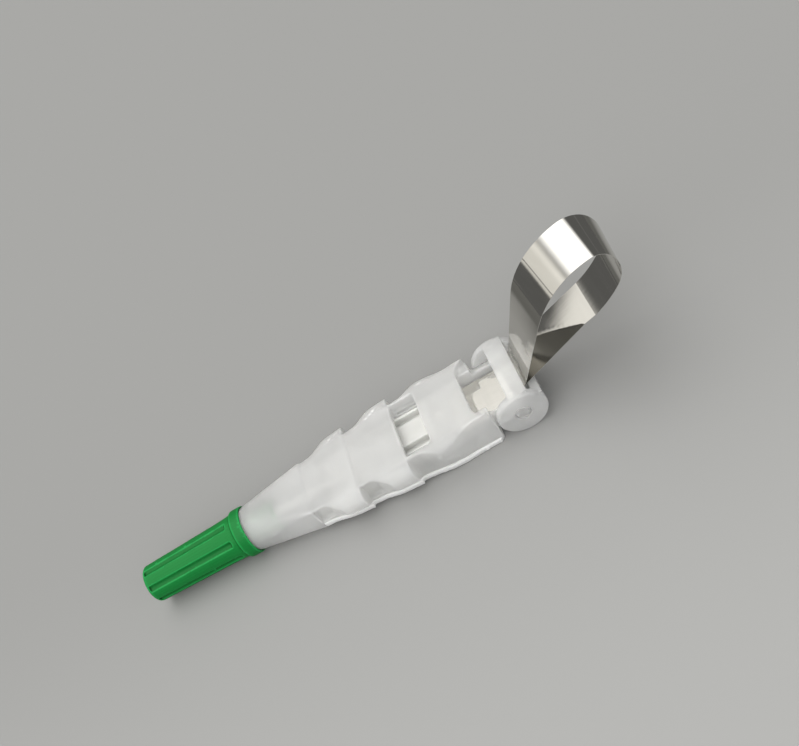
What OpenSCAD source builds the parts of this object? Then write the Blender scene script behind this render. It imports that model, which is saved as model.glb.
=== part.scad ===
// Disposable matrix band retainer: frosted handle, adjusting knob, swivelling head and steel band loop.
// X runs from the knob to the head, Z is up, and the origin is the middle of the flat rest face.

/* [Knob] */
// Length of the fluted grip of the knob
knob_len = 14.5; // [10:0.1:20]
// Radius of the knob at its rear end
knob_rear_r = 2.65; // [2.2:0.05:3.0]
// Radius of the knob where it meets the collar
knob_front_r = 3.0; // [2.6:0.05:3.2]
// Rounding of the knob's rear edge
knob_edge_r = 0.5; // [0.2:0.05:0.9]
// Growth of that radius by the flare in front of the flutes
knob_flare = 0.12; // [0:0.01:0.2]
// Number of flutes round the knob
flute_count = 7; // [5:1:16]
// Depth of a flute
flute_depth = 0.3; // [0.1:0.05:0.4]
// Radius of the cutter that makes a flute
flute_cut_r = 0.5; // [0.4:0.05:3]
// Length of the collar that covers the end of the handle
collar_len = 1.6; // [1.2:0.1:3]
// Depth of the recess in the collar's front face
collar_recess = 0.3; // [0.1:0.05:0.5]
// Radius of the stem that turns in the handle
stem_r = 1.9; // [1.6:0.05:2.1]
// Length of the stem in front of the collar
stem_len = 4.2; // [3.5:0.1:5]
// Height of the snap bead round the stem
bead_h = 0.2; // [0.1:0.05:0.3]
// Width of the snap bead
bead_w = 0.6; // [0.4:0.1:0.8]

/* [Lead screw] */
// Outer radius of the screw that the knob draws in
screw_r = 0.8; // [0.6:0.05:0.9]
// Width of the square shank held in the slider
shank_w = 1.2; // [1:0.05:1.4]
// Length of the square shank
shank_len = 4.2; // [3:0.1:4.5]
// Thickness of the knob's rear wall
knob_wall = 1.5; // [1:0.1:3]

/* [Handle] */
// Height of the long axis above the surface the part lies on; also the collar's and the ears' radius
axis_h = 3.4; // [3.2:0.05:3.8]
// Length of the handle, without its fork
handle_len = 35.6; // [33:0.1:44]
// Radius of the round neck behind the grip
neck_r = 3.1; // [2.9:0.05:3.2]
// Length of the round to square transition
cone_len = 9.5; // [8:0.1:12]
// Pitch of the grip steps
step_pitch = 7.15; // [7:0.05:9]
// Half width of the first grip segment at its rear
grip_w1 = 4.2; // [3.9:0.05:4.5]
// Half width of the second grip segment at its rear
grip_w2 = 4.65; // [4.4:0.05:5]
// Half width of the third grip segment at its rear
grip_w3 = 4.9; // [4.7:0.05:5.2]
// Half width of the handle at its front
front_w = 5.05; // [4.9:0.05:5.3]
// Height of the top face above the axis at the first step
rear_h = 2.1; // [2.0:0.05:2.6]
// Height of the top face above the axis at the front
front_h = 3.3; // [3.0:0.05:3.5]
// Swell of the finger pads on the first segment
swell_1 = 1.9; // [0.4:0.05:2.2]
// Swell of the finger pads on the second segment
swell_2 = 1.9; // [0.4:0.05:2.2]
// Swell of the finger pads on the third segment
swell_3 = 1.25; // [0.3:0.05:1.6]
// Drop of the top face at each grip step
step_drop = 0.14; // [0.05:0.01:0.3]
// Height of the crown of the top face
crown = 0.2; // [0.05:0.05:0.4]
// Depth of the finger recess behind each pad
recess_depth = 0.8; // [0.3:0.05:0.9]
// Length of the finger recess
recess_len = 4; // [3:0.1:5]
// Thickness of the top wall of the shell
top_wall = 0.7; // [0.5:0.05:0.9]
// Thickness of the base plate
base_t = 0.8; // [0.6:0.05:1]
// Length of the level part of the base at the front
rest_len = 5.2; // [4:0.2:8]
// Length of the window in the top face
window_len = 3.7; // [2.5:0.1:5]
// Depth of the finger notch in the front edge
notch_depth = 1.75; // [1:0.05:2.5]

/* [Slider] */
// Half width of the slider
slider_w = 3.2; // [3.2:0.05:3.3]
// Length of the slider
slider_len = 10.4; // [9:0.1:11]
// Height of the slider above the axis
slider_top = 1.3; // [1.2:0.05:1.35]
// Depth of the slider below the axis
slider_bottom = 0.9; // [0.9:0.05:1]
// Travel of the slider towards the knob
travel = 8; // [4:0.5:8]
// Radius of the rivet that holds the band ends
rivet_r = 0.6; // [0.4:0.05:0.8]

/* [Head] */
// Distance from the handle's front edge to the swivel axis
pivot_ahead = 3.7; // [3.65:0.05:4.5]
// Angle the head is turned up from straight
head_turn = 45; // [0:5:60]
// Thickness of an ear
ear_t = 1.0; // [0.8:0.05:1.4]
// Distance from the centre plane to an ear's outer face
ear_out = 5.45; // [5.4:0.05:5.8]
// Rounding of the ear's outer edge
ear_edge_r = 0.35; // [0.1:0.05:0.45]
// Width of a guide bar along the ears' rim
bar_w = 2.6; // [2.2:0.1:2.7]
// How far a guide bar reaches behind its tangent point
bar_back = 0.8; // [0.5:0.1:1]
// Thickness of a guide bar
bar_t = 1.2; // [0.8:0.05:1.2]
// Radius of the trunnion the head swivels on
trunnion_r = 1.0; // [0.8:0.05:1.1]
// Half height of a fork arm
arm_h = 1.15; // [1:0.05:1.2]
// Radius of a fork arm's round end
arm_end_r = 1.5; // [1.4:0.05:1.7]
// Thickness of a fork arm
arm_t = 0.9; // [0.7:0.05:1]

/* [Band] */
// Width of the steel band
band_w = 6.3; // [5:0.1:6.3]
// Thickness of the steel band
band_t = 0.05; // [0.04:0.01:0.06]
// Angle between the loop's first leg and the head's own direction
band_rise = 17.3; // [12:0.1:25]
// Change of that angle from the middle of the band to its edge
band_rise_flare = 3.5; // [0:0.5:4]

/* [Clearances] */
// Gap between the collar and the handle
collar_gap = 0.1; // [0.05:0.05:0.2]
// Radial gap of a part that turns in a bore
turn_gap = 0.06; // [0.03:0.01:0.08]
// Gap beside and above the slider
slide_gap = 0.1; // [0.08:0.01:0.2]
// Gap between the fork arms, the ears and the band
side_gap = 0.15; // [0.12:0.01:0.25]
// Gap between two pieces that are pressed or welded together
seat_gap = 0.02; // [0.01:0.01:0.03]

/* [Hidden] */

cut = 1;         // how far a cutter reaches past a face
fine = 96;       // segments of a true round
rim_fn = 40;     // segments of a round inside a hull

// Places along X, measured from the knob's rear end
collar_end = knob_len + collar_len;
handle_x = collar_end - collar_recess + collar_gap;
handle_end = collar_end + handle_len;
step_x1 = collar_end + cone_len;
step_x2 = step_x1 + step_pitch;
step_x3 = step_x2 + step_pitch;
pivot_x = handle_end + pivot_ahead;
rest_x = handle_end - rest_len / 2;
stem_end = collar_end + stem_len;
bead_x = stem_end - 2 * bead_w;

// Slider and channel
slider_ahead = 7.4;   // from the third grip step to the slider's front
slider_end = step_x3 + slider_ahead;
slider_x = slider_end - slider_len;
end_play = 0.5;       // room left at the end of the travel
screw_x = knob_wall + travel + end_play;
channel_x = slider_x - travel - end_play;
channel_w = slider_w + slide_gap;
side_channel_w = 4.0;
rib_t = 0.35;
rivet_back = 1.7;     // from the slider's front to the rivet
rivet_x = slider_end - rivet_back;
rivet_rim = 0.35;
rivet_head_h = 0.15;
pocket_half = 1;      // half length of the pocket round the rivet's head
pocket_w = 2.05;
pocket_d = 0.4;
slot_h = 0.3;
slot_back = 0.8;      // how far the band's slot reaches behind the rivet
tail_back = 0.7;      // how far the band's ends reach behind it

// Window and notch
window_behind = 0.1;  // from the third grip step to the window
window_x = step_x3 + window_behind;
window_w = 4.4;
notch_r = 2.2;
notch_y = front_w - notch_r;
band_flare_room = 0.1;
fork_y = band_w / 2 + side_gap + band_flare_room;
arm_out = fork_y + arm_t;
ear_in = ear_out - ear_t;
trunnion_sink = 0.15; // how far a trunnion's end lies below the ear's face
trunnion_end = ear_out - trunnion_sink;
key_l = 1.5;
key_h = 0.8;

// Half width, swell and heights of the grip as functions of x
function plate_w(x) = lookup(x, [[step_x1, grip_w1], [step_x2, grip_w2], [step_x3, grip_w3],
                                 [handle_end, front_w]]);
function ease(t) = let(c = max(0, min(1, t))) c * c * (3 - 2 * c);
swell_from = 1.5;
swell_to = 4.5;
function swell(x, x0, amount) = amount * ease((x - x0 - swell_from) / (swell_to - swell_from));
fade_from = 4.8;
fade_to = 9.4;
function front_swell(x) = swell(x, step_x3, swell_3) * (1 - ease((x - step_x3 - fade_from)
                                                                / (fade_to - fade_from)));
function base_line_h(x) = rear_h + (front_h - rear_h) * (x - step_x1) / (handle_end - step_x1);
function top_h(x, x0, x1) = base_line_h(x) - step_drop * (x1 - x) / (x1 - x0);
floor_drop = 0.7;     // how much lower the underside is at the third step than at the first
function floor_h(x) = lookup(x, [[step_x1, rear_h], [step_x3, rear_h + floor_drop],
                                 [handle_end - rest_len, axis_h], [handle_end, axis_h]]);

// Half of a cross-section, from the top middle to the bottom middle, as [y, z]
shoulder = 0.06;
foot_share = 0.08;
top_shares = [0, 0.25, 0.45, 0.65, 0.82];
pad_top = [[0, 0], [0.35, 0.03], [0.62, 0.11], [0.84, 0.25], [0.96, 0.43], [1, 0.65]];
pad_side = [0.33, 0.67, 1];
function half_section(w, b, h, floor_z) = concat(
    [for (t = top_shares) [w * t, h + crown * (1 - t * t)]],
    [[w - shoulder, h], [w - shoulder / 3, h - shoulder / 4]],
    [for (i = [0 : len(pad_top) - 1])
        [w + b * pad_top[i][0], h - shoulder * (1 + i / 8) - b * pad_top[i][1]]],
    let (z0 = h - 2 * shoulder - b * pad_top[len(pad_top) - 1][1])
    [for (t = pad_side) [w + b * (1 - (1 - foot_share) * t * t), z0 + (floor_z - z0) * t]]);
function full_section(half) = concat(half, [for (i = [len(half) - 1 : -1 : 1]) [-half[i][0], half[i][1]]]);

// A solid through cross-sections: each is [x, list of [y, z]]
module loft(sections) {
    n = len(sections[0][1]);
    m = len(sections);
    points = [for (s = sections, p = s[1]) [s[0], p[0], p[1]]];
    sides = [for (i = [0 : m - 2], j = [0 : n - 1])
        let (a = i * n + j, b = i * n + (j + 1) % n) each [[a, b, b + n], [a, b + n, a + n]]];
    rear = [[for (j = [n - 1 : -1 : 0]) j]];
    front = [[for (j = [0 : n - 1]) (m - 1) * n + j]];
    polyhedron(points, concat(rear, sides, front), convexity = 6);
}

// Everything is drawn from the knob's rear end, then moved so that the rest face is at the origin
module in_place() {
    translate([-rest_x, 0, axis_h]) children();
}

// Solids round an axis along X or across Y, and the mirror pair of a solid on the +Y side
module along_x(x, len, r) {
    translate([x, 0, 0]) rotate([0, 90, 0]) cylinder(h = len, r = r, $fn = fine);
}

module across_y(x, y0, y1, r) {
    translate([x, y0, 0]) rotate([-90, 0, 0]) cylinder(h = y1 - y0, r = r, $fn = fine);
}

module both_sides() {
    children();
    mirror([0, 1, 0]) children();
}

module box_from_to(a, b) {
    translate(a) cube(b - a);
}

// An outline in X and Z, given a thickness of 2 * w across Y
module side_profile(w, points) {
    translate([0, w, 0]) rotate([90, 0, 0]) linear_extrude(2 * w) polygon(points);
}

// The head and the band loop are drawn round the swivel axis, looking straight ahead
module on_head() {
    in_place() translate([pivot_x, 0, 0]) rotate([0, -head_turn, 0]) children();
}

// Handle shell
module grip_segment(x0, x1, amount, fades) {
    overlap = 0.3;
    low = 1;
    steps = 20;
    stations = concat([x0 - overlap], [for (i = [0 : steps]) x0 + i / steps * (x1 - x0)]);
    loft([for (x = stations)
        let (xs = max(x, x0), b = fades ? front_swell(xs) : swell(xs, x0, amount),
             half = half_section(plate_w(xs), b, top_h(xs, x0, x1), -floor_h(xs) + base_t),
             foot = half[len(half) - 1])
        [x, full_section(concat(half, [[foot[0], foot[1] - low], [0, foot[1] - low]]))]]);
}

module rear_cone() {
    thin = 0.01;
    lip = 0.12;
    w = grip_w1 + lip;
    crown_edge = 0.6;
    hull() {
        translate([handle_x, 0, 0]) rotate([0, 90, 0]) cylinder(h = thin, r = neck_r, $fn = rim_fn);
        loft([for (x = [step_x1 - thin, step_x1])
            [x, full_section([[0, rear_h + crown], [w * crown_edge, rear_h + crown * crown_edge],
                              [w - shoulder, rear_h], [w, rear_h - shoulder], [w, shoulder - rear_h],
                              [w - shoulder, -rear_h], [0, -rear_h]])]]);
    }
}

module finger_recess(x0, w, reach) {
    wall = 0.45;
    bow = 0.3;
    inner = w - recess_depth;
    for (side = [-1, 1])
        translate([0, 0, -floor_h(x0) + base_t + wall])
            linear_extrude(floor_h(x0) - base_t - wall + base_line_h(x0) - step_drop - wall)
                polygon([for (p = [[x0, inner], [x0 + recess_len / 2, inner + recess_depth * bow],
                                   [x0 + recess_len, w + reach], [x0, w + reach]]) [p[0], side * p[1]]]);
}

module channel() {
    ceiling = top_wall + step_drop;
    side_profile(channel_w, [
        [channel_x, base_line_h(channel_x) - ceiling], [handle_end + cut, front_h - ceiling],
        [handle_end + cut, -axis_h - cut], [channel_x, -axis_h - cut]]);
}

module window() {
    x1 = window_x + window_len;
    side_in = slider_w + slide_gap + rib_t;
    box_from_to([window_x, -window_w, slider_top + slide_gap], [x1, window_w, front_h + cut]);
    both_sides() box_from_to([window_x + rib_t, side_in, -axis_h], [x1, side_channel_w, front_h]);
}

module notch() {
    x0 = handle_end - notch_depth;
    translate([0, 0, front_h - top_wall - step_drop - crown])
        linear_extrude(axis_h) union() {
            translate([x0, -notch_y]) square([notch_depth + cut, 2 * notch_y]);
            translate([x0 + notch_r, -notch_y - notch_r])
                square([cut + notch_depth, 2 * (notch_y + notch_r)]);
            for (side = [-1, 1]) translate([x0 + notch_r, side * notch_y]) circle(r = notch_r, $fn = fine);
        }
}

module fork_arm() {
    box_from_to([handle_end - notch_depth, fork_y, -arm_h], [pivot_x, arm_out, arm_h]);
    across_y(pivot_x, fork_y, arm_out, arm_end_r);
    across_y(pivot_x, fork_y, trunnion_end, trunnion_r);
    translate([pivot_x, 0, 0])
        box_from_to([-key_l / 2, arm_out, -key_h / 2], [key_l / 2, ear_out, key_h / 2]);
}

module below_floor() {
    side_profile(2 * front_w, [
        [step_x1, base_t + seat_gap - floor_h(step_x1)], [step_x3, base_t + seat_gap - floor_h(step_x3)],
        [handle_end - rest_len, base_t + seat_gap - axis_h], [handle_end + cut, base_t + seat_gap - axis_h],
        [handle_end + cut, -2 * axis_h], [step_x1, -2 * axis_h]]);
}

module handle_shell() {
    color("whitesmoke") in_place() {
        difference() {
            union() {
                rear_cone();
                grip_segment(step_x1, step_x2, swell_1, false);
                grip_segment(step_x2, step_x3, swell_2, false);
                grip_segment(step_x3, handle_end, swell_3, true);
            }
            below_floor();
            channel();
            window();
            notch();
            finger_recess(step_x1, grip_w1, swell_1);
            finger_recess(step_x2, grip_w2, swell_2);
            along_x(handle_x - cut, stem_end + seat_gap - handle_x + cut, stem_r + turn_gap);
            along_x(bead_x - slide_gap, bead_w + 2 * slide_gap, stem_r + bead_h + turn_gap);
            along_x(stem_end, channel_x - stem_end + cut, screw_r + slide_gap);
        }
        both_sides() fork_arm();
    }
}

// Handle base
function base_edge(x) = let (share = 0.22, rim = 0.12)
    plate_w(x) + rim + share * (x < step_x2 ? swell(x, step_x1, swell_1)
                                : x < step_x3 ? swell(x, step_x2, swell_2) : front_swell(x));
module base_outline() {
    steps = 10;
    hair = 0.001;
    corner = 0.6;
    half = [for (s = [[step_x1, step_x2], [step_x2, step_x3], [step_x3, handle_end - corner]],
                 i = [0 : steps])
        let (x = s[0] + i / steps * (s[1] - s[0])) [x, base_edge(min(x, s[1] - hair))]];
    tip = [[handle_end, base_edge(handle_end) - corner]];
    right = concat(half, tip);
    polygon(concat(right, [for (i = [len(right) - 1 : -1 : 0]) [right[i][0], -right[i][1]]]));
}

module handle_base() {
    rail_x0 = channel_x + 2 * slide_gap;
    rail_x1 = handle_end - notch_depth;
    rail_in = 1.9;
    rail_out = channel_w - slide_gap;
    gate = 0.15;
    color("whitesmoke") in_place() {
        intersection() {
            translate([0, 0, -axis_h]) linear_extrude(2 * axis_h) base_outline();
            side_profile(2 * front_w, [
                [step_x1 + seat_gap, -floor_h(step_x1)], [step_x3, -floor_h(step_x3)],
                [handle_end - rest_len, -axis_h], [handle_end, -axis_h], [handle_end, base_t - axis_h],
                [handle_end - rest_len, base_t - axis_h], [step_x3, base_t - floor_h(step_x3)],
                [step_x1 + seat_gap, base_t - floor_h(step_x1)]]);
        }
        both_sides() box_from_to([rail_x0, rail_in, -floor_h(rail_x0) + base_t / 2],
                                 [rail_x1, rail_out, -slider_bottom - slide_gap / 2]);
        translate([rest_x - gate, -base_edge(rest_x) - gate, base_t / 4 - axis_h])
            cube([2 * gate, 2 * gate, base_t / 2]);
    }
}

// Knob
function knob_r(x) = knob_rear_r + (knob_front_r - knob_rear_r) * x / knob_len;
module knob_profile() {
    edge_steps = 6;
    flare_steps = 4;
    flare_len = 3;
    polygon(concat(
        [[0, 0]],
        [for (i = [0 : edge_steps]) let (a = 90 * i / edge_steps)
            [knob_rear_r - knob_edge_r * (1 - sin(a)), knob_edge_r * (1 - cos(a))]],
        [for (i = [0 : flare_steps]) let (t = i / flare_steps)
            [knob_r(knob_len - flare_len * (1 - t)) + knob_flare * t * t,
             knob_len - flare_len * (1 - t)]],
        [[axis_h - collar_gap, knob_len], [axis_h, knob_len + collar_gap],
         [axis_h, collar_end - collar_gap], [axis_h - collar_gap, collar_end],
         [neck_r + collar_gap, collar_end], [neck_r + collar_gap, collar_end - collar_recess],
         [stem_r, collar_end - collar_recess], [stem_r, bead_x], [stem_r + bead_h, bead_x + bead_h],
         [stem_r + bead_h, bead_x + bead_w / 2], [stem_r, bead_x + bead_w], [stem_r, stem_end],
         [0, stem_end]]));
}

module flutes() {
    taper = atan((knob_front_r - knob_rear_r) / knob_len);
    rear_clear = 0.4;
    front_clear = 0.9;
    flute_turn = -1;      // from straight up to the first flute
    for (i = [0 : flute_count - 1])
        rotate([flute_turn + i * 360 / flute_count, 0, 0])
            translate([rear_clear, 0, knob_rear_r + flute_cut_r - flute_depth])
                rotate([0, 90 - taper, 0])
                    cylinder(h = knob_len - rear_clear - front_clear, r = flute_cut_r, $fn = fine);
}

module adjusting_knob() {
    color("forestgreen") in_place() difference() {
        rotate([0, 90, 0]) rotate_extrude($fn = fine) knob_profile();
        flutes();
        along_x(knob_wall, stem_end - knob_wall + cut, screw_r + turn_gap);
    }
}

// Lead screw, which the knob draws in: it doesn't turn, because its square shank is held in the slider
module lead_screw() {
    w = shank_w / 2;
    color("gainsboro") in_place() {
        along_x(screw_x, slider_x - screw_x, screw_r);
        box_from_to([slider_x, -w, -w], [slider_x + shank_len, w, w]);
    }
}

// Slider, with the socket for the screw's shank and the slot that the band's ends lie in
module slider() {
    socket_w = shank_w / 2 + seat_gap;
    pocket_x = rivet_x - pocket_half;
    foot_w = 1.7;
    color("snow") in_place() difference() {
        box_from_to([slider_x, -slider_w, -slider_bottom], [slider_end, slider_w, slider_top]);
        box_from_to([slider_x - cut, -socket_w, -socket_w],
                    [slider_x + shank_len + seat_gap, socket_w, socket_w]);
        box_from_to([pocket_x, -pocket_w, slider_top - pocket_d],
                    [rivet_x + pocket_half, pocket_w, slider_top + cut]);
        box_from_to([rivet_x - slot_back, -slider_w - cut, -slot_h / 2],
                    [slider_end + cut, slider_w + cut, slot_h / 2]);
        translate([rivet_x, 0, -slider_bottom - cut])
            cylinder(h = 3 * cut, r = rivet_r + seat_gap, $fn = fine);
        both_sides() box_from_to([slider_x - cut, foot_w, slot_h],
                                 [pocket_x - pocket_d, slider_w - pocket_d, slider_top + cut]);
    }
}

module band_rivet() {
    seat_z = slider_top - pocket_d;
    color("silver") in_place() translate([rivet_x, 0, 0]) {
        translate([0, 0, -slider_bottom]) cylinder(h = slider_bottom + seat_z, r = rivet_r, $fn = fine);
        translate([0, 0, seat_z]) cylinder(h = rivet_head_h, r = rivet_r + rivet_rim, $fn = fine);
    }
}

// The two straight ends of the band, one on the other, from the rivet to the swivel axis
band_gap = 0.03;
band_near_pivot = 0.6;
module band_tails() {
    hole_r = rivet_r + 2 * seat_gap;
    color("silver") in_place() for (side = [-1, 1]) difference() {
        translate([0, 0, side * (band_gap + band_t / 2)])
            translate([rivet_x - tail_back, -band_w / 2, -band_t / 2])
                cube([pivot_x - band_near_pivot - rivet_x + tail_back, band_w, band_t]);
        translate([rivet_x, 0, -cut]) cylinder(h = 2 * cut, r = hole_r, $fn = fine);
    }
}

// Swivelling head: two ears on the trunnions, joined by two guide bars that leave a throat for the band
module ear() {
    steps = 6;
    points = concat([[0, ear_in], [0, ear_out]],
        [for (i = [0 : steps]) let (a = 90 * i / steps)
            [axis_h - ear_edge_r * (1 - sin(a)), ear_out - ear_edge_r * (1 - cos(a))]],
        [[axis_h, ear_in]]);
    rotate([-90, 0, 0]) rotate_extrude($fn = fine) polygon(points);
}

module guide_bar() {
    bar_turn = 45;
    bar_inset = 0.05;
    bar_end = ear_out - ear_edge_r - bar_inset;
    rotate([0, bar_turn, 0])
        box_from_to([-bar_back, -bar_end, axis_h - bar_t], [bar_w - bar_back, bar_end, axis_h - bar_inset]);
}

module swivel_head() {
    color("ghostwhite") on_head() difference() {
        union() {
            both_sides() ear();
            guide_bar();
            mirror([0, 0, 1]) guide_bar();
        }
        translate([0, -2 * ear_out, 0]) rotate([-90, 0, 0])
            cylinder(h = 4 * ear_out, r = trunnion_r + turn_gap, $fn = fine);
    }
}

// Band loop. Its path is a chain of straight and curved stretches from the throat and back:
// [length, turn, change of length at the wide edge, change of turn at the wide edge]
band_throat = 2.9;
band_path = [[9.3, 0, 0.2, 0], [6.0, -29, -0.2, -1.9], [5.1, -25.5, 0.3, 0], [3.3, -66, 0.7, 0],
             [5.95, -75.5, 0.5, 0], [4.95, -24, 0.25, -1.9], [12.2, 0, 0, 0]];
pieces = [4, 6, 5, 9, 11, 5, 4];
function band_steps(e) = [for (k = [0 : len(band_path) - 1], i = [1 : pieces[k]])
    let (s = band_path[k]) [(s[0] + s[2] * e) / pieces[k], (s[1] + s[3] * e) / pieces[k]]];
function walk(steps, p, h) = [for (i = 0, q = p, a = h; i <= len(steps);
    q = i < len(steps) ? q + steps[i][0] * [cos(a + steps[i][1] / 2), sin(a + steps[i][1] / 2)] : q,
    a = i < len(steps) ? a + steps[i][1] : a, i = i + 1) q];
function closed(path) = let (n = len(path) - 1, miss = path[n] - path[0])
    [for (i = [0 : n]) path[i] - miss * i / n];
function loop_path(e) = concat([[band_near_pivot, 0]],
    closed(walk(band_steps(e), [band_throat, 0], band_rise + band_rise_flare * e)),
    [[band_near_pivot, 0]]);
function unit(v) = v / norm(v);
function side_of(path, i) = let (n = len(path) - 1,
    t = unit(path[min(i + 1, n)] - path[max(i - 1, 0)])) [-t[1], t[0]];

module band_loop() {
    near = loop_path(-1);
    far = loop_path(1);
    n = len(near) - 1;
    rings = [for (i = [0 : n])
        let (lead = i < 2 || i > n - 2, s = i <= 1 ? [0, 1] : i >= n - 1 ? [0, -1] : side_of(near, i),
             shift = s * (lead ? band_gap : 0), t = s * band_t,
             a = near[i] + shift, b = far[i] + shift)
        [[a[0], -band_w / 2, a[1]], [a[0] + t[0], -band_w / 2, a[1] + t[1]],
         [b[0] + t[0], band_w / 2, b[1] + t[1]], [b[0], band_w / 2, b[1]]]];
    sides = [for (i = [0 : n - 1], j = [0 : 3])
        let (a = 4 * i + j, b = 4 * i + (j + 1) % 4)
        each (j == 3 ? [[a, b, a + 4], [b, b + 4, a + 4]] : [[a, b, b + 4], [a, b + 4, a + 4]])];
    color("silver") on_head() polyhedron([for (r = rings) each r],
        concat([[3, 2, 1, 0]], sides, [[4 * n, 4 * n + 1, 4 * n + 2, 4 * n + 3]]), convexity = 8);
}

handle_shell();
handle_base();
adjusting_knob();
lead_screw();
slider();
band_rivet();
band_tails();
swivel_head();
band_loop();
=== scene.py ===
# Disposable matrix band retainer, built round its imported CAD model. Metres, in the row frame.
import bpy
import bmesh
import math
from mathutils import Euler, Matrix, Vector


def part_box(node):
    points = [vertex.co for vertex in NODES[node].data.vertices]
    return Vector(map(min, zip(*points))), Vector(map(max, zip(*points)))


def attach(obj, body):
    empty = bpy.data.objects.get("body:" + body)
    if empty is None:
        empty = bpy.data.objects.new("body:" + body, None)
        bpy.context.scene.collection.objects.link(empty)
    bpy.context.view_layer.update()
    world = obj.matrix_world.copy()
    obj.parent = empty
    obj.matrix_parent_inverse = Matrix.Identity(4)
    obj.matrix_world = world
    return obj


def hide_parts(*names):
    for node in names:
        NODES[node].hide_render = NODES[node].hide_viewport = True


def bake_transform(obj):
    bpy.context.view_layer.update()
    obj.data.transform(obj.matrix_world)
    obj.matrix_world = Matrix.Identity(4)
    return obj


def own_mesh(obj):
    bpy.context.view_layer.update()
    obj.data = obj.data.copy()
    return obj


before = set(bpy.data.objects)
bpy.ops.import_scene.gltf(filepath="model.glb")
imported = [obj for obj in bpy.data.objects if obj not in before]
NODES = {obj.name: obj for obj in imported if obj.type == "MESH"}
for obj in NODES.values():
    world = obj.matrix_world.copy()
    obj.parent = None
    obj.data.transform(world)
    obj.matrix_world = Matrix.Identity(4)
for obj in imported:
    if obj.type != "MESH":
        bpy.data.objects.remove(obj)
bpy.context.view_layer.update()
MM = 0.001

# Places in millimetres in the row frame, as in part.scad
PIVOT = (6.3, 0.0, 3.4)
AXIS_Z = PIVOT[2]
HEAD_TURN = math.radians(45)


# ---- small helpers -------------------------------------------------------------------------
def link(obj):
    bpy.context.scene.collection.objects.link(obj)
    return obj


class Nodes:
    """Makes shader nodes in one material or world, with their links."""

    def __init__(self, tree):
        self.tree = tree
        tree.nodes.clear()

    def add(self, kind, **inputs):
        """A node. Names with a leading _ are settings, and in_0, in_1 are sockets by number."""
        node = self.tree.nodes.new(kind)
        for key, value in inputs.items():
            if key.startswith("_"):
                setattr(node, key[1:], value)
        for key, value in inputs.items():
            if not key.startswith("_"):
                self.put(node, key, value)
        return node

    def put(self, node, name, value):
        """Links a socket to an input, or sets the input's value."""
        socket = node.inputs[int(name[3:])] if name.startswith("in_") else node.inputs[name]
        if isinstance(value, bpy.types.NodeSocket):
            self.tree.links.new(value, socket)
        else:
            socket.default_value = value

    def math(self, operation, a, b):
        return self.add("ShaderNodeMath", _operation=operation, in_0=a, in_1=b).outputs[0]

    def vector_math(self, operation, a, b):
        return self.add("ShaderNodeVectorMath", _operation=operation, in_0=a, in_1=b)

    def ramp(self, factor, *stops):
        """A colour ramp through stops of (position, colour or grey)."""
        node = self.add("ShaderNodeValToRGB", in_0=factor)
        elements = node.color_ramp.elements
        while len(elements) < len(stops):
            elements.new(0.5)
        for element, (position, colour) in zip(elements, stops):
            if isinstance(colour, float):
                colour = (colour,) * 3
            element.position = position
            element.color = (*colour, 1.0)
        return node.outputs[0]

    def vary(self, noise, low, high):
        """From one colour or grey to another over the middle of a noise."""
        return self.ramp(noise, (0.3, low), (0.7, high))

    def smooth(self, value, low, high, at_low=0.0, at_high=1.0):
        """A soft step between two values."""
        node = self.add("ShaderNodeMapRange", _interpolation_type="SMOOTHSTEP",
                        in_0=value, in_1=low, in_2=high, in_3=at_low, in_4=at_high)
        return node.outputs[0]

    def mix(self, share, first, second):
        node = self.add("ShaderNodeMix", _data_type="RGBA", in_0=share, in_6=first, in_7=second)
        return node.outputs[2]

    def noise(self, scale, detail, vector):
        return self.add("ShaderNodeTexNoise", Scale=scale, Detail=detail, Roughness=0.55,
                        Vector=vector).outputs[0]

    def coords(self, scale=(1.0, 1.0, 1.0)):
        source = self.add("ShaderNodeTexCoord").outputs["Object"]
        return self.add("ShaderNodeMapping", Vector=source, Scale=scale).outputs[0]

    def bump(self, height, strength):
        """A fine grain or streaks that stand out by a hundredth of a millimetre or two."""
        return self.add("ShaderNodeBump", Height=height, Strength=strength,
                        Distance=0.02 * MM).outputs[0]

    def pointiness(self):
        """High on outer edges, low in grooves and a half on flat faces."""
        return self.add("ShaderNodeNewGeometry").outputs["Pointiness"]


def material(name):
    made = bpy.data.materials.new(name)
    made.use_nodes = True
    nodes = Nodes(made.node_tree)
    out = nodes.add("ShaderNodeOutputMaterial")
    shader = nodes.add("ShaderNodeBsdfPrincipled")
    nodes.tree.links.new(shader.outputs[0], out.inputs["Surface"])
    return made, nodes, shader


def scatter(shader, depth_mm):
    """Lets light spread below a shader's surface."""
    shader.inputs["Subsurface Weight"].default_value = 1.0
    shader.inputs["Subsurface Radius"].default_value = (1.0, 1.0, 1.0)
    shader.inputs["Subsurface Scale"].default_value = depth_mm * MM


# ---- materials -----------------------------------------------------------------------------
def milky(name, colours, rough, clear, depth_mm, edge_at):
    """Milky plastic that lets light through, less so along its outer edges, which look lighter."""
    mat, n, shader = material(name)
    place = n.coords()
    cloud = n.noise(160.0, 3.0, place)
    patchy = n.vary(cloud, clear + 0.05, clear - 0.05)
    inner = n.ramp(n.pointiness(), (edge_at, 1.0), (edge_at + 0.05, 0.1))
    n.put(shader, "Base Color", n.vary(cloud, *colours))
    n.put(shader, "Roughness", n.vary(cloud, rough, rough + 0.1))
    n.put(shader, "Transmission Weight", n.math("MULTIPLY", patchy, inner))
    n.put(shader, "Normal", n.bump(n.noise(7000.0, 2.0, place), 0.25))
    shader.inputs["IOR"].default_value = 1.1
    scatter(shader, depth_mm)
    return mat


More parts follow.
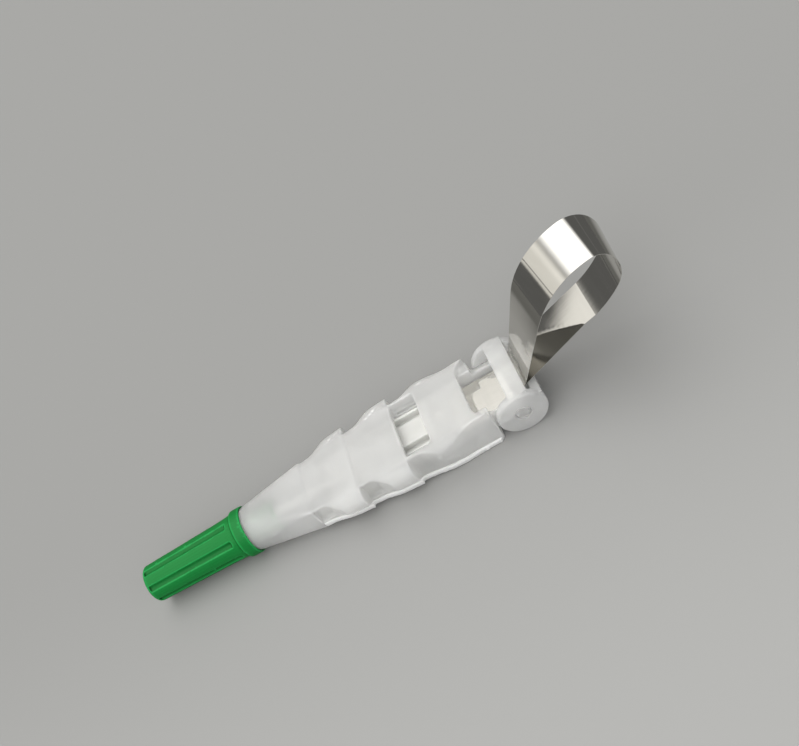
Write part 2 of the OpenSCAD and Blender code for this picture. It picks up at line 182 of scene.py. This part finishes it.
def green_plastic():
    mat, n, shader = material("green_plastic")
    place = n.coords()
    # Painted shade and highlight: the base colour is darker in the grooves and lighter along the rib
    # edges, by pointiness
    n.put(shader, "Base Color", n.ramp(n.pointiness(), (0.46, (0.003, 0.09, 0.014)),
                                       (0.5, (0.008, 0.19, 0.036)), (0.53, (0.018, 0.32, 0.075))))
    n.put(shader, "Roughness", n.vary(n.noise(400.0, 3.0, place), 0.34, 0.44))
    n.put(shader, "Normal", n.bump(n.noise(6000.0, 2.0, place), 0.2))
    shader.inputs["IOR"].default_value = 1.48
    shader.inputs["Specular IOR Level"].default_value = 0.15
    return mat


def white_plastic():
    mat, n, shader = material("white_plastic")
    cloud = n.noise(350.0, 3.0, n.coords())
    n.put(shader, "Base Color", n.vary(cloud, (0.6, 0.6, 0.58), (0.66, 0.66, 0.64)))
    n.put(shader, "Roughness", n.vary(cloud, 0.38, 0.5))
    scatter(shader, 1.0)
    return mat


def band_steel():
    mat, n, shader = material("band_steel")
    grain = n.noise(1.0, 3.0, n.coords((500.0, 60.0, 500.0)))
    streaks = n.noise(1.0, 3.0, n.coords((200.0, 1600.0, 200.0)))
    n.put(shader, "Base Color", n.vary(grain, (0.62, 0.606, 0.57), (0.68, 0.666, 0.63)))
    n.put(shader, "Roughness", n.vary(grain, 0.07, 0.12))
    n.put(shader, "Normal", n.bump(streaks, 0.25))
    shader.inputs["Metallic"].default_value = 1.0
    return mat


FROSTED = milky("frosted_plastic", ((0.98, 0.98, 0.965), (0.998, 0.998, 0.985)),
                rough=0.36, clear=0.54, depth_mm=4.0, edge_at=0.515)
PLATE = milky("frosted_plastic_plate", ((0.94, 0.94, 0.91), (0.97, 0.97, 0.94)),
              rough=0.34, clear=0.1, depth_mm=1.0, edge_at=0.515)
# No edge of the head is as pointed as its edge_at, so it is clear all over
CLEAR = milky("clear_plastic", ((0.965, 0.97, 0.965), (0.985, 0.985, 0.98)),
              rough=0.16, clear=0.64, depth_mm=1.0, edge_at=0.9)
GREEN = green_plastic()
WHITE = white_plastic()
STEEL = band_steel()


# ---- pieces --------------------------------------------------------------------------------
def piece(name, mesh, mat, body, replaces=()):
    """An object from a mesh in metres, which rides on a body if it has one."""
    obj = link(bpy.data.objects.new(name, mesh))
    mesh.materials.clear()
    mesh.materials.append(mat)
    if body:
        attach(obj, body)
    if replaces:
        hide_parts(*replaces)
    return obj


def shade(mesh, sharp_angle):
    """Smooth shading, with the edges sharp above an angle in degrees."""
    mesh.shade_smooth()
    mesh.set_sharp_from_angle(angle=math.radians(sharp_angle))
    return mesh


def mesh_from(name, points_mm, faces, sharp_angle=35.0):
    """A mesh in metres, from points in millimetres."""
    mesh = bpy.data.meshes.new(name)
    mesh.from_pydata([Vector(p) * MM for p in points_mm], [], faces)
    mesh.update()
    return shade(mesh, sharp_angle)


def from_work(name, work):
    """A mesh from a bmesh, which is freed."""
    mesh = bpy.data.meshes.new(name)
    work.to_mesh(mesh)
    work.free()
    return mesh


def after_modifiers(obj, name):
    """An object's mesh with its modifiers applied. The object is removed."""
    seen = obj.evaluated_get(bpy.context.evaluated_depsgraph_get())
    made = bpy.data.meshes.new_from_object(seen)
    made.name = name
    bpy.data.objects.remove(obj)
    return made


def node_work_mm(node):
    """A CAD node's mesh as a bmesh in millimetres, with its seams closed."""
    work = bmesh.new()
    work.from_mesh(NODES[node].data)
    work.transform(Matrix.Scale(1.0 / MM, 4))
    bmesh.ops.remove_doubles(work, verts=work.verts, dist=0.0005)
    return work


def moulded(name, work, voxel, soften):
    """One smooth skin over the solids in a bmesh in millimetres, with softened edges, in metres."""
    obj = link(bpy.data.objects.new(name + "_work", from_work(name, work)))
    skin = obj.modifiers.new("skin", "REMESH")
    skin.mode = "VOXEL"
    skin.voxel_size = voxel
    skin.use_smooth_shade = True
    soft = obj.modifiers.new("soft", "SMOOTH")
    soft.factor = 0.5
    soft.iterations = soften
    made = after_modifiers(obj, name)
    made.transform(Matrix.Scale(MM, 4))
    made.shade_smooth()
    return made


def add_box(work, low, high):
    """Adds a box to a bmesh, between two corners in the bmesh's own units."""
    size = [h - l for l, h in zip(low, high)]
    middle = [(h + l) / 2 for l, h in zip(low, high)]
    made = bmesh.ops.create_cube(work, size=1.0)["verts"]
    place = Matrix.Translation(middle) @ Matrix.Diagonal((*size, 1.0))
    bmesh.ops.transform(work, matrix=place, verts=made)


# The flat key on the end of each trunnion: along X, up, from and to in Y, and its rounded edges
KEY_L, KEY_H = 1.5, 0.8
KEY_FROM, KEY_TO = 4.9, 5.42
KEY_ROUND = 0.08


def with_keys(mesh):
    """The handle's skin joined with the crisp keys on the ends of its two trunnions."""
    work = bmesh.new()
    for side in (-1, 1):
        y = sorted((side * KEY_FROM * MM, side * KEY_TO * MM))
        add_box(work, ((PIVOT[0] - KEY_L / 2) * MM, y[0], (PIVOT[2] - KEY_H / 2) * MM),
                ((PIVOT[0] + KEY_L / 2) * MM, y[1], (PIVOT[2] + KEY_H / 2) * MM))
    bmesh.ops.bevel(work, geom=work.edges[:], offset=KEY_ROUND * MM, segments=3, affect="EDGES")
    tool = link(bpy.data.objects.new("keys_work", from_work("keys", work)))
    obj = link(bpy.data.objects.new("skin_work", mesh))
    join = obj.modifiers.new("join", "BOOLEAN")
    join.operation = "UNION"
    join.solver = "EXACT"
    join.object = tool
    made = after_modifiers(obj, mesh.name)
    bpy.data.objects.remove(tool)
    made.shade_smooth()
    return made


# Node, name of its visual piece, material, body, slot, voxel size in mm and rounds of softening
MOULDINGS = (
    ("handle_shell", "shell_moulding", FROSTED, "handle", "frosted_plastic", 0.16, 4),
    ("handle_base", "base_moulding", PLATE, "handle", "frosted_plastic", 0.12, 3),
    ("adjusting_knob", "knob_moulding", GREEN, "knob", "green_plastic", 0.1, 2),
    ("slider", "slider_moulding", WHITE, "carriage", "white_plastic", 0.09, 2),
    ("swivel_head", "head_moulding", CLEAR, "head", "clear_plastic", 0.09, 6),
)


def mouldings():
    for node, name, mat, body, slot, voxel, soften in MOULDINGS:
        mesh = moulded(name, node_work_mm(node), voxel, soften)
        if node == "handle_shell":
            mesh = with_keys(mesh)
        piece(name, mesh, mat, body, (node,))


def tube_faces(first, rings, around):
    """Faces of a tube whose rings of points follow one another from a first point on."""
    faces = []
    for i in range(rings):
        for j in range(around):
            a = first + i * around + j
            b = first + i * around + (j + 1) % around
            faces.append((a, b, b + around, a + around))
    return faces


def lead_screw():
    """A rod with a real thread, and its square shank."""
    low, high = (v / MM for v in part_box("lead_screw"))
    rod_end = (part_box("slider")[0] / MM).x
    pitch, depth, outer, steepness = 1.0, 0.12, 0.8, 1.6
    around, per_turn = 32, 12
    half_shank, shank_overlap = 0.6, 0.1
    length = rod_end - low.x
    rings = int(length / pitch * per_turn)
    points = [(low.x, 0.0, AXIS_Z)]
    for i in range(rings + 1):
        x = low.x + length * i / rings
        for j in range(around):
            phase = (x / pitch - j / around) % 1.0
            flank = min(1.0, steepness * abs(2.0 * phase - 1.0))
            r = outer - depth * (1.0 - flank)
            if i in (0, rings):
                r = outer - depth
            a = 2 * math.pi * j / around
            points.append((x, r * math.cos(a), AXIS_Z + r * math.sin(a)))
    faces = tube_faces(1, rings, around)
    faces += [(0, 1 + (j + 1) % around, 1 + j) for j in range(around)]
    faces.append(tuple(1 + rings * around + j for j in range(around)))
    work = bmesh.new()
    work.from_mesh(mesh_from("lead_screw_rod", points, faces))
    work.transform(Matrix.Scale(1.0 / MM, 4))
    add_box(work, (rod_end - shank_overlap, -half_shank, AXIS_Z - half_shank),
            (high.x, half_shank, AXIS_Z + half_shank))
    work.transform(Matrix.Scale(MM, 4))
    mesh = shade(from_work("lead_screw_threaded", work), 40)
    piece("lead_screw_threaded", mesh, WHITE, "carriage", ("lead_screw",))


def lathe(profile, around, centre):
    """Points and faces of a profile of (radius, height) turned round an upright line."""
    points = []
    for r, z in profile:
        for j in range(around):
            a = 2 * math.pi * j / around
            points.append((centre[0] + r * math.cos(a), centre[1] + r * math.sin(a), z))
    faces = tube_faces(0, len(profile) - 1, around)
    faces.append(tuple(range(around - 1, -1, -1)))
    faces.append(tuple((len(profile) - 1) * around + j for j in range(around)))
    return points, faces


def rivet():
    """The rivet with a domed head in place of the CAD's flat one."""
    low, high = (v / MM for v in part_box("band_rivet"))
    head_r, head_t, rim, crown = (high.x - low.x) / 2, 0.15, 0.03, 0.12
    shank_r, chamfer = 0.6, 0.08
    seat = high.z - head_t
    angles = [math.radians(6 * k) for k in range(15)]
    dome = [(head_r * math.cos(a), seat + rim + crown * math.sin(a)) for a in angles]
    shank = [(shank_r - chamfer, low.z), (shank_r, low.z + chamfer), (shank_r, seat), (head_r, seat)]
    points, faces = lathe(shank + dome, 48, ((low.x + high.x) / 2, 0.0))
    piece("rivet_domed", mesh_from("rivet_domed", points, faces), STEEL, "carriage",
          ("band_rivet",))


# ---- band ----------------------------------------------------------------------------------
# Stretches of the band's path from the throat and back, as in part.scad:
# length, turn, and how much each changes at the wide edge
BAND_PATH = (
    (9.3, 0, 0.2, 0),
    (6.0, -29, -0.2, -1.9),
    (5.1, -25.5, 0.3, 0),
    (3.3, -66, 0.7, 0),
    (5.95, -75.5, 0.5, 0),
    (4.95, -24, 0.25, -1.9),
    (12.2, 0, 0, 0),
)
# Degrees by which the path climbs at the throat, and by which its edges differ in that
BAND_RISE, BAND_FLARE = 17.3, 3.5
# Half the band's width, its thickness and how far each layer lies from the middle
BAND_HALF, BAND_T, BAND_GAP = 3.15, 0.05, 0.03
# Where the loop's leads begin and where its throat is, in front of the swivel axis
LEAD, THROAT = 0.6, 2.9
RING_STEP = 0.06
LEAD_RINGS = 8
ACROSS = 14
# Creases of the pre-formed band: place at the near and far edge, height and half width
CREASES = (
    (1.275, 1.375, 0.010, 0.12),
    (1.825, 1.95, 0.010, 0.12),
    (3.45, 3.58, 0.008, 0.12),
    (5.0, 5.0, -0.008, 0.12),
)
# The fold across the leg that comes back: degrees, share along it at the near edge, how much
# further it lies at the far edge, and how gently it turns
FOLD_ANGLE, FOLD_NEAR, FOLD_SLANT, FOLD_SOFT = 9, 0.125, 0.675, 0.2


def from_head(x, y, z):
    """A point given round the swivel axis, looking straight ahead, in the row frame."""
    c, s = math.cos(HEAD_TURN), math.sin(HEAD_TURN)
    return (PIVOT[0] + x * c - z * s, y, PIVOT[2] + x * s + z * c)


def band_edge(e):
    """The path at one edge, as a list of (stretch number and share, x, z) round the swivel axis."""
    x, z, heading = THROAT, 0.0, BAND_RISE + BAND_FLARE * e
    out = [(0.0, x, z)]
    for k, (length, turn, more_length, more_turn) in enumerate(BAND_PATH):
        steps = max(4, round(length / RING_STEP))
        for i in range(steps):
            step = (length + more_length * e) / steps
            bend = (turn + more_turn * e) / steps
            a = math.radians(heading + bend / 2)
            x, z, heading = x + step * math.cos(a), z + step * math.sin(a), heading + bend
            out.append((k + (i + 1) / steps, x, z))
    n = len(out) - 1
    miss_x, miss_z = out[-1][1] - out[0][1], out[-1][2] - out[0][2]
    return [(tag, px - miss_x * i / n, pz - miss_z * i / n) for i, (tag, px, pz) in enumerate(out)]


def length_at(tag):
    """Length along the band at a stretch number and share."""
    k = min(int(tag), len(BAND_PATH) - 1)
    return sum(s[0] for s in BAND_PATH[:k]) + (tag - k) * BAND_PATH[k][0]


def band_dent(s, v):
    """How far the creases stand out of the path at a length along it and a share across it."""
    out = 0.0
    for near, far, height, half in CREASES:
        middle = length_at(near) + (length_at(far) - length_at(near)) * v
        out += height * math.exp(-((s - middle) / half) ** 2)
    return out


def band_fold(tag, v):
    """How far the leg that comes back to the throat stands in, folded along a slanting line."""
    last = len(BAND_PATH) - 1
    if tag < last:
        return 0.0
    whole = BAND_PATH[last][0]
    s = (tag - last) * whole
    before = (FOLD_NEAR + FOLD_SLANT * v) * whole
    after = whole - before
    height = math.tan(math.radians(FOLD_ANGLE)) * before * after / whole
    t = math.hypot(s - before, FOLD_SOFT) - FOLD_SOFT
    return height - t * height / (before if s < before else after)


def ribbon(name, rings):
    """A thin strip: each ring is a list of (point on one side, point on the other) across it."""
    points = []
    for ring in rings:
        points += [a for a, b in ring] + [b for a, b in reversed(ring)]
    around = 2 * len(rings[0])
    faces = tube_faces(0, len(rings) - 1, around)
    faces.append(tuple(range(around - 1, -1, -1)))
    faces.append(tuple((len(rings) - 1) * around + j for j in range(around)))
    mesh = mesh_from(name, points, faces, 30.0)
    work = bmesh.new()
    work.from_mesh(mesh)
    bmesh.ops.recalc_face_normals(work, faces=work.faces)
    work.to_mesh(mesh)
    work.free()
    return mesh


def across(near, far, v):
    """The x and z between an edge's point and the other edge's, at a share across the band."""
    return [near[c] * (1 - v) + far[c] * v for c in (1, 2)]


def loop_ring(i, near, far):
    """Ring i of the loop. Before 0 and past the path's end come its straight leads."""
    n = len(near) - 1
    k = min(max(i, 0), n)
    before, after = max(k - 1, 0), min(k + 1, n)
    side = 1.0 if i <= 0 else -1.0
    ring = []
    for j in range(ACROSS + 1):
        v = j / ACROSS
        x, z = across(near[k], far[k], v)
        ax, az = across(near[before], far[before], v)
        bx, bz = across(near[after], far[after], v)
        size = math.hypot(bx - ax, bz - az)
        nx, nz = (az - bz) / size, (bx - ax) / size
        if i < 0 or i > n:
            lead = max(-i, i - n) / LEAD_RINGS
            x = THROAT - (THROAT - LEAD) * lead
            z = side * BAND_GAP
            nx, nz = 0.0, side
        elif i in (0, n):
            z += side * BAND_GAP
            nx, nz = nx * 0.5, (nz + side) * 0.5
        else:
            tag = near[k][0]
            ease = min(1.0, min(i, n - i) / 6)
            lift = band_dent(length_at(tag), v) + BAND_GAP * (1 - ease) - band_fold(tag, v)
            x, z = x + nx * lift, z + nz * lift
        y = -BAND_HALF + 2 * BAND_HALF * v
        ring.append((from_head(x, y, z), from_head(x + nx * BAND_T, y, z + nz * BAND_T)))
    return ring


def loop():
    """The formed loop at one length, which rides on the head; on the real retainer the slider
    shortens it by drawing the band in.
    """
    near, far = band_edge(-1.0), band_edge(1.0)
    rings = [loop_ring(i, near, far) for i in range(-LEAD_RINGS, len(near) + LEAD_RINGS)]
    obj = piece("band_loop_formed", ribbon("band_loop_formed", rings), STEEL, "head",
                ("band_loop",))
    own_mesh(obj)


def layer(places, low, high, width=1.0):
    """One layer of the band through places of (x, z, slope), between two heights over them."""
    rings = []
    for x, z, slope in places:
        nx, nz = -math.sin(slope), math.cos(slope)
        ring = []
        for j in range(ACROSS + 1):
            y = (-BAND_HALF + 2 * BAND_HALF * j / ACROSS) * width
            ring.append(((x + nx * low, y, z + nz * low), (x + nx * high, y, z + nz * high)))
        rings.append(ring)
    return ribbon("layer", rings)


def two_layers(name, places, low, high, width=1.0):
    """The band's two layers, one on each side of the middle."""
    work = bmesh.new()
    for side in (1, -1):
        work.from_mesh(layer(places, side * low, side * high, width))
    return shade(from_work(name, work), 30)


def ends():
    """The band's two ends, one on the other, from the slider to the notch."""
    low, high = (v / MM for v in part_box("band_tails"))
    places = [(low.x + (high.x - low.x) * i / 4, AXIS_Z, 0.0) for i in range(5)]
    mesh = two_layers("band_ends", places, BAND_GAP, BAND_GAP + BAND_T)
    piece("band_ends", mesh, STEEL, "carriage", ("band_tails",))


# The stretch at the swivel axis: how far it reaches back and forward of the axis, half the length
# that bends, its two heights over the middle, and its width against the band's
BEND_BACK, BEND_FRONT, BEND_HALF = 8.4, 2.2, 0.9
BEND_LOW, BEND_HIGH = 0.012, 0.028
BEND_WIDTH = 0.995
BEND_STEPS = 40


def bend_place(s):
    """The x, z and slope of the bending stretch at a length from the swivel axis."""
    if s < -BEND_HALF:
        return (PIVOT[0] + s, AXIS_Z, 0.0)
    slope = HEAD_TURN * min(1.0, (s + BEND_HALF) / (2 * BEND_HALF))
    if s < BEND_HALF:
        r = 2 * BEND_HALF / HEAD_TURN
        x = PIVOT[0] - r * math.tan(HEAD_TURN / 2) + r * math.sin(slope)
        return (x, AXIS_Z + r * (1 - math.cos(slope)), slope)
    return (PIVOT[0] + s * math.cos(slope), AXIS_Z + s * math.sin(slope), slope)


def bend():
    """The stretch of the band that bends at the swivel axis, between the handle and the head."""
    whole = BEND_BACK + BEND_FRONT
    places = [bend_place(-BEND_BACK + whole * i / BEND_STEPS) for i in range(BEND_STEPS + 1)]
    mesh = two_layers("band_bend", places, BEND_LOW, BEND_HIGH, BEND_WIDTH)
    obj = piece("band_bend", mesh, STEEL, None)
    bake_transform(obj)


mouldings()
lead_screw()
rivet()
loop()
ends()
bend()


# ---- camera, floor and light ---------------------------------------------------------------
CAMERA_PLACE = (0.01414, -0.08293, 0.10128)
CAMERA_TURN = (37.515, 26.106, -17.495)
FLOOR_SIZE = 6.0
FLOOR_TOP = -0.00002
# Painted shade: the floor's colour is lighter at the front and darker towards the back
FLOOR_LIT_FRONT, FLOOR_SHADED_BACK = (0.375, 0.375, 0.37), (0.303, 0.303, 0.298)
# Painted reflection: beyond the paper round the object, glossy rays alone see a darker tabletop,
# which metal and gloss reflect and the camera never sees
PAINTED_DARK_REFLECTION = (0.12, 0.12, 0.115, 1.0)
PAPER_MIDDLE = (0.018, 0.0, 0.0)
PAPER_FROM, PAPER_TO = 0.025, 0.07
# The room's light by direction, where X and Y are how far a direction leans for each unit it rises:
# (X from, X to, Y from, Y to, softness in X, softness in Y, radiance, colour)
PANELS = (
    (-0.66, 0.255, -1.2, 0.75, 0.3, 0.4, 2.25, (1.0, 0.998, 0.985)),
    (-2.3, -0.84, -0.6, 1.2, 0.3, 1.0, 1.05, (1.0, 0.975, 0.91)),
    (-0.84, 0.3, 0.8, 1.9, 0.3, 0.4, 1.0, (1.0, 0.98, 0.93)),
    (-1.1, 0.0, -0.6, 1.5, 0.3, 0.3, 0.3, (1.0, 0.99, 0.96)),
    (1.15, 1.35, -1.0, 2.0, 0.1, 0.5, 0.12, (1.0, 1.0, 1.0)),
    (-4.0, 4.0, -2.8, -0.7, 2.0, 0.6, 1.2, (1.0, 1.0, 1.0)),
)
AMBIENT = (0.17, 0.17, 0.166)
# What the camera sees past the floor's edge, and how much weaker metal and gloss show the room
BACKDROP = (0.42, 0.42, 0.415, 1.0)
GLOSSY_LESS = 0.24


def camera():
    data = bpy.data.cameras.new("camera")
    data.sensor_width = 36.0
    data.lens = 45.06
    data.clip_start, data.clip_end = 0.002, 20.0
    obj = link(bpy.data.objects.new("camera", data))
    turn = Euler([math.radians(a) for a in CAMERA_TURN])
    obj.matrix_world = Matrix.Translation(CAMERA_PLACE) @ turn.to_matrix().to_4x4()
    bpy.context.scene.camera = obj


def floor():
    bpy.ops.mesh.primitive_plane_add(size=FLOOR_SIZE, location=(0.0, 0.0, FLOOR_TOP))
    obj = bpy.context.object
    obj.name = "floor"
    mat, n, shader = material("floor_paper")
    place = n.coords()
    # Painted shade: the paper turns darker from the front towards the back
    along = n.smooth(n.add("ShaderNodeSeparateXYZ", in_0=place).outputs[1], -0.06, 0.02)
    paper = n.ramp(along, (0.0, FLOOR_LIT_FRONT), (1.0, FLOOR_SHADED_BACK))
    # Painted reflection: only glossy rays see the floor darker away from the object
    away = n.vector_math("DISTANCE", place, PAPER_MIDDLE).outputs["Value"]
    glossy = n.add("ShaderNodeLightPath").outputs["Is Glossy Ray"]
    reflection_mask = n.math("MULTIPLY", n.smooth(away, PAPER_FROM, PAPER_TO), glossy)
    n.put(shader, "Base Color", n.mix(reflection_mask, paper, PAINTED_DARK_REFLECTION))
    shader.inputs["Roughness"].default_value = 0.8
    shader.inputs["Specular IOR Level"].default_value = 0.1
    obj.data.materials.append(mat)


def between(n, value, low, high, soft):
    """1 between two values and 0 outside them, with soft borders."""
    rise = n.smooth(value, low - soft / 2, low + soft / 2)
    fall = n.smooth(value, high - soft / 2, high + soft / 2, 1.0, 0.0)
    return n.math("MULTIPLY", rise, fall)


def room():
    world = bpy.data.worlds.new("room")
    bpy.context.scene.world = world
    world.use_nodes = True
    n = Nodes(world.node_tree)
    direction = n.add("ShaderNodeTexCoord").outputs["Generated"]
    parts = n.add("ShaderNodeSeparateXYZ", in_0=direction)
    rise = n.math("MAXIMUM", parts.outputs[2], 0.02)
    lean_x, lean_y = (n.math("DIVIDE", parts.outputs[k], rise) for k in (0, 1))
    total = AMBIENT
    for x0, x1, y0, y1, soft_x, soft_y, radiance, colour in PANELS:
        inside_x = between(n, lean_x, x0, x1, soft_x)
        inside_y = between(n, lean_y, y0, y1, soft_y)
        light = n.add("ShaderNodeVectorMath", _operation="SCALE",
                      in_0=tuple(radiance * c for c in colour),
                      Scale=n.math("MULTIPLY", inside_x, inside_y))
        total = n.vector_math("ADD", total, light.outputs[0]).outputs[0]
    path = n.add("ShaderNodeLightPath")
    seen = n.mix(path.outputs["Is Camera Ray"], total, BACKDROP)
    less = n.math("MULTIPLY", path.outputs["Is Glossy Ray"], GLOSSY_LESS)
    back = n.add("ShaderNodeBackground", Color=seen, Strength=n.math("SUBTRACT", 1.0, less))
    out = n.add("ShaderNodeOutputWorld")
    n.tree.links.new(back.outputs[0], out.inputs["Surface"])


camera()
floor()
room()
bpy.context.scene.view_settings.view_transform = "Standard"
